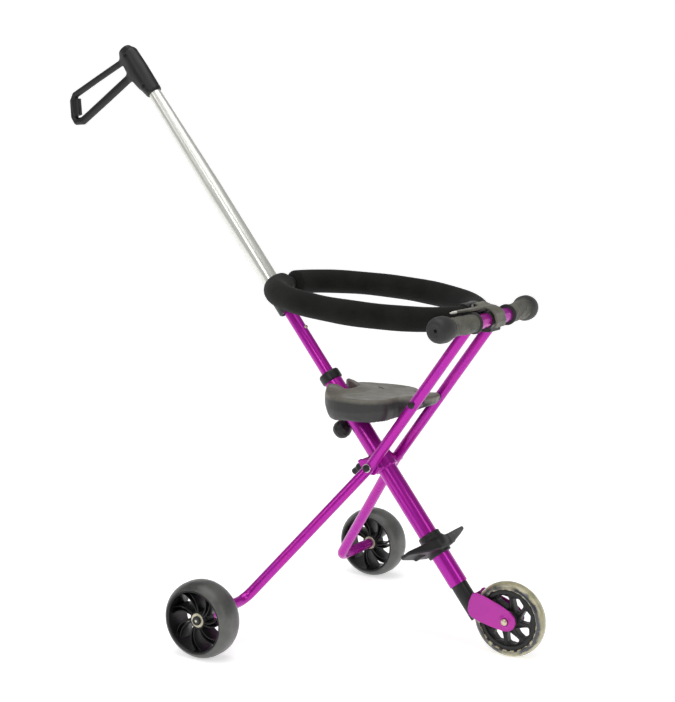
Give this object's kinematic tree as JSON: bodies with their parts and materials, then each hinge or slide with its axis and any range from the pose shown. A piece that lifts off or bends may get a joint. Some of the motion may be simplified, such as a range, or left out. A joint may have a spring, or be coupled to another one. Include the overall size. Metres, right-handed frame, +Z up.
{
  "type": "children's tricycle",
  "caption": "Folding toddler tricycle with a scissor frame, saddle, padded safety ring, short handlebar, foot rest and a telescopic push handle that steers the front wheel.",
  "frame": {"origin": "on the ground, at the centre of the tricycle's footprint", "axes": "+X forward, the way the child faces; +Y to the child's left; +Z up"},
  "size_m": [0.9126, 0.558, 0.9226],
  "materials": {
    "purple_tube": "anodised magenta, glossy",
    "fork_paint": "magenta paint, satin",
    "silver_tube": "polished anodised",
    "steel": "zinc plated",
    "brass": "satin",
    "black_plastic": "moulded, satin",
    "seat_plastic": "moulded, satin",
    "grey_plastic": "moulded, satin",
    "grip_rubber": "matt, ribbed",
    "rear_tyre": "smooth, slightly glossy",
    "clear_tyre": "smoky cream, slightly clear",
    "foam": "closed-cell foam, matt"
  },
  "bodies": {
    "frame": {"main_tube": "purple_tube", "headset_collar": "black_plastic", "pivot_bracket": "purple_tube", "pivot_bolt_right": "steel", "pivot_bolt_left": "steel", "pivot_cap_right": "black_plastic", "pivot_cap_left": "black_plastic", "footrest": "black_plastic", "footrest_screw": "steel", "ring_sleeve": "black_plastic"},
    "steering": {"column_tube": "purple_tube", "column_bush": "black_plastic", "steerer_neck": "black_plastic", "fork": "fork_paint", "front_axle_bolt": "brass", "front_axle_nut": "steel"},
    "button": {"snap_button": "brass"},
    "front_wheel": {"front_tyre": "clear_tyre", "front_core": "black_plastic", "front_bearing_right": "steel", "front_bearing_left": "steel"},
    "push_handle": {"handle_tube": "silver_tube", "handle_bush": "black_plastic", "handle_shell_right": "black_plastic", "handle_shell_left": "black_plastic", "handle_screw_upper": "steel", "handle_screw_lower": "steel"},
    "fold_lock": {"fold_lock_pin": "black_plastic"},
    "seat_lock": {"seat_lock_pin": "black_plastic"},
    "legs": {"leg_right": "purple_tube", "leg_left": "purple_tube", "handlebar": "purple_tube", "grip_right": "grip_rubber", "grip_left": "grip_rubber", "bar_clamp": "black_plastic", "seat_bolt": "steel", "seat_bolt_cap_right": "black_plastic", "seat_bolt_cap_left": "black_plastic", "seat_spacer_right": "black_plastic", "seat_spacer_left": "black_plastic", "rear_axle_bolt_right": "steel", "rear_axle_bolt_left": "steel"},
    "seat": {"seat_pan": "seat_plastic"},
    "rear_wheel_right": {"rear_tyre_right": "rear_tyre", "rear_hub_right": "black_plastic", "bearing_outer_right": "steel", "bearing_inner_right": "steel"},
    "rear_wheel_left": {"rear_tyre_left": "rear_tyre", "rear_hub_left": "black_plastic", "bearing_outer_left": "steel", "bearing_inner_left": "steel"},
    "ring": {"ring_hoop": "steel", "ring_foam": "foam", "latch_pin": "steel", "latch_saddle": "black_plastic"},
    "latch": {"ring_latch": "grey_plastic"}
  },
  "joints": [
    {"name": "steer", "type": "hinge", "parent": "frame", "child": "steering", "pos_m": [0.38564, 0, 0], "axis": [-0.615, 0, 0.7885], "range_deg": [-50, 50]},
    {"name": "front_wheel_spin", "type": "hinge", "parent": "steering", "child": "front_wheel", "pos_m": [0.39764, 0, 0.05863], "axis": [0, 1, 0], "continuous": true},
    {"name": "handle_slide", "type": "slide", "parent": "steering", "child": "push_handle", "axis": [-0.615, 0, 0.7885], "range_m": [-0.11, 0]},
    {"name": "snap_button_press", "type": "slide", "parent": "steering", "child": "button", "axis": [-0.7885, 0, -0.615], "range_m": [0, 0.003], "stiffness_N_per_m": 300, "springref_m": -0.002},
    {"name": "fold_lock_pull", "type": "slide", "parent": "frame", "child": "fold_lock", "axis": [-0.7885, 0, -0.615], "range_m": [0, 0.008], "stiffness_N_per_m": 300, "springref_m": -0.003},
    {"name": "seat_lock_pull", "type": "slide", "parent": "frame", "child": "seat_lock", "axis": [-0.7885, 0, -0.615], "range_m": [0, 0.006], "stiffness_N_per_m": 300, "springref_m": -0.003},
    {"name": "frame_fold", "type": "hinge", "parent": "frame", "child": "legs", "pos_m": [0.17145, 0, 0.27465], "axis": [0, -1, 0], "range_deg": [0, 48]},
    {"name": "seat_fold", "type": "hinge", "parent": "legs", "child": "seat", "pos_m": [0.24914, 0, 0.38235], "axis": [0, 1, 0], "range_deg": [0, 88.8]},
    {"name": "ring_lift", "type": "hinge", "parent": "frame", "child": "ring", "pos_m": [-0.00816, 0, 0.5457], "axis": [0, -1, 0], "range_deg": [0, 91.2]},
    {"name": "latch_open", "type": "hinge", "parent": "ring", "child": "latch", "pos_m": [0.33464, 0, 0.5375], "axis": [0, -1, 0], "range_deg": [0, 80]},
    {"name": "rear_wheel_right_spin", "type": "hinge", "parent": "legs", "child": "rear_wheel_right", "pos_m": [0.00364, -0.254, 0.05962], "axis": [0, 1, 0], "continuous": true},
    {"name": "rear_wheel_left_spin", "type": "hinge", "parent": "legs", "child": "rear_wheel_left", "pos_m": [0.00364, 0.254, 0.05962], "axis": [0, 1, 0], "continuous": true}
  ],
  "couplings": [
    {"joint": "seat_fold", "follows": "frame_fold", "ratio": 1.85},
    {"joint": "ring_lift", "follows": "frame_fold", "ratio": 1.9}
  ]
}
